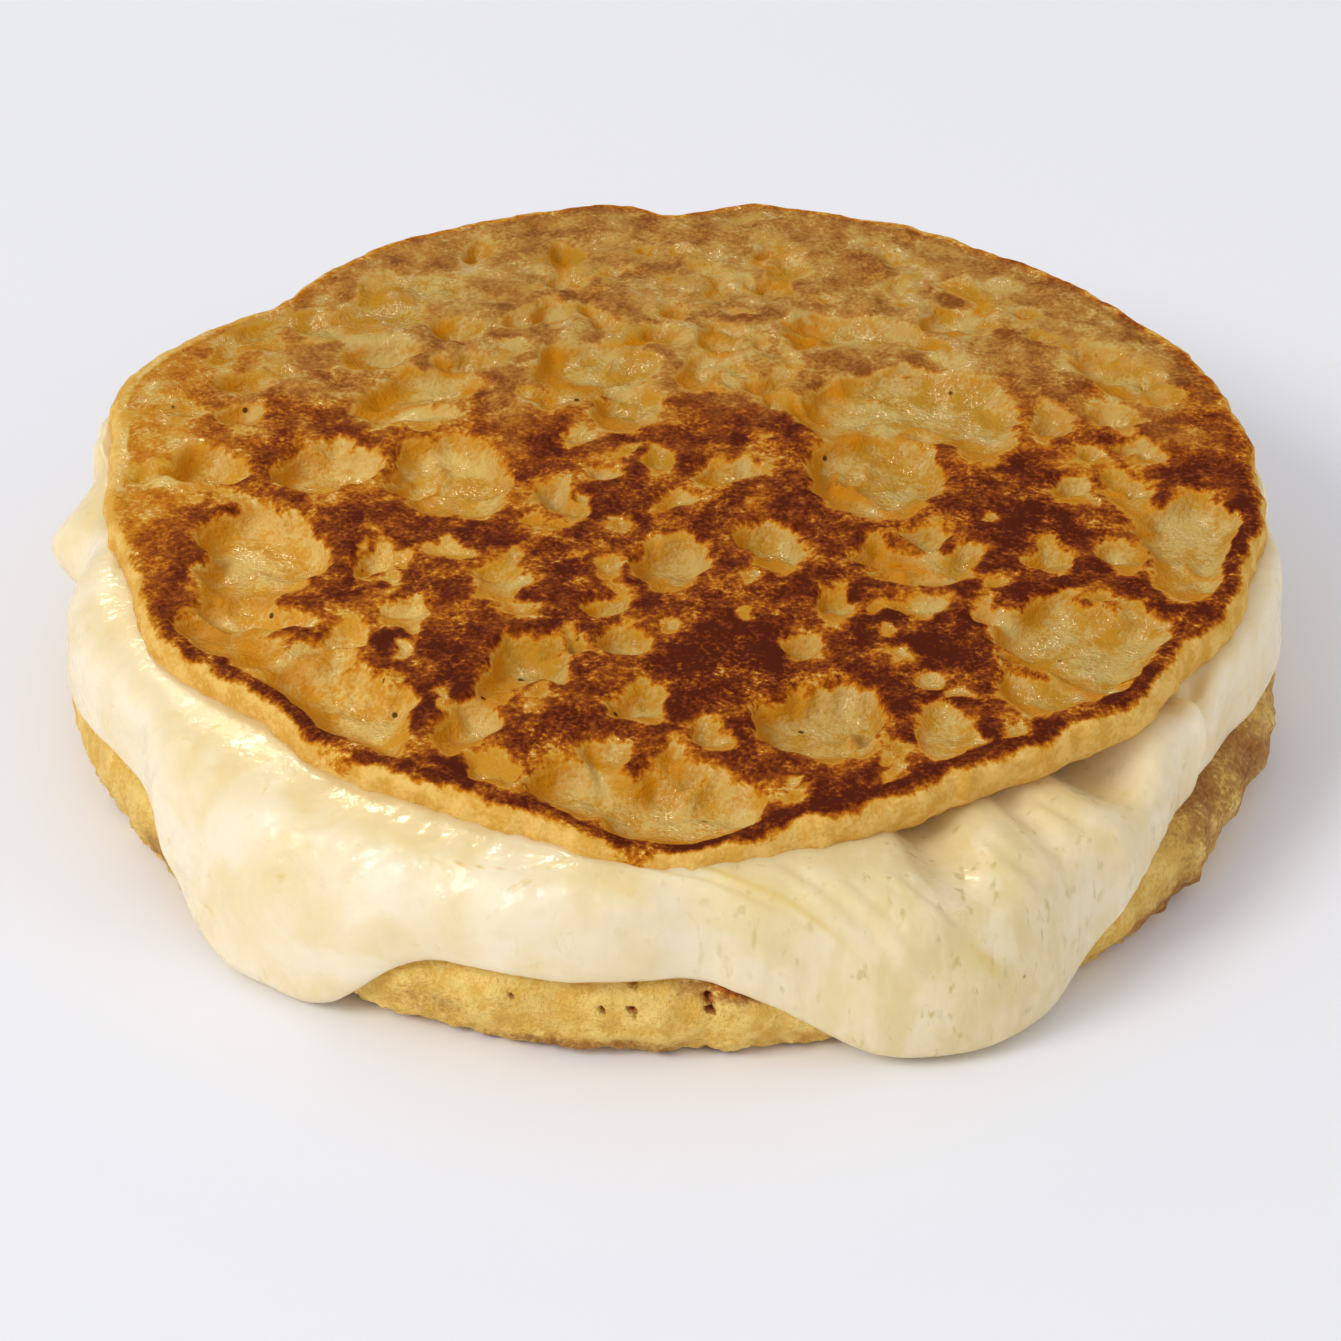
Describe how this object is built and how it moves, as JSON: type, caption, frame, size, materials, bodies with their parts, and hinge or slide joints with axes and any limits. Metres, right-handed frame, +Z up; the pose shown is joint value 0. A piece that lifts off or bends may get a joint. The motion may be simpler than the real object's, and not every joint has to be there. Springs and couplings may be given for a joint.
{
  "type": "filled corn arepa",
  "caption": "Filled corn arepa: griddled sweet-corn cakes with blistered brown crust and a thick layer of melted white cheese running over the edge.",
  "frame": {"origin": "middle of the footprint, on the surface that the lower cake lies on", "axes": "+Z is up through the stack; -Y is the side where the longest tongues of cheese run down"},
  "size_m": [0.1314, 0.1316, 0.0263],
  "materials": {
    "corn_cake": "soft golden griddled corn, matte",
    "melted_cheese": "creamy melted white cheese, wet gloss",
    "browned_cake": "blistered griddle crust, brown over gold"
  },
  "bodies": {
    "root": {"bottom_cake": "corn_cake", "cheese": "melted_cheese", "top_cake": "browned_cake"}
  },
  "joints": []
}
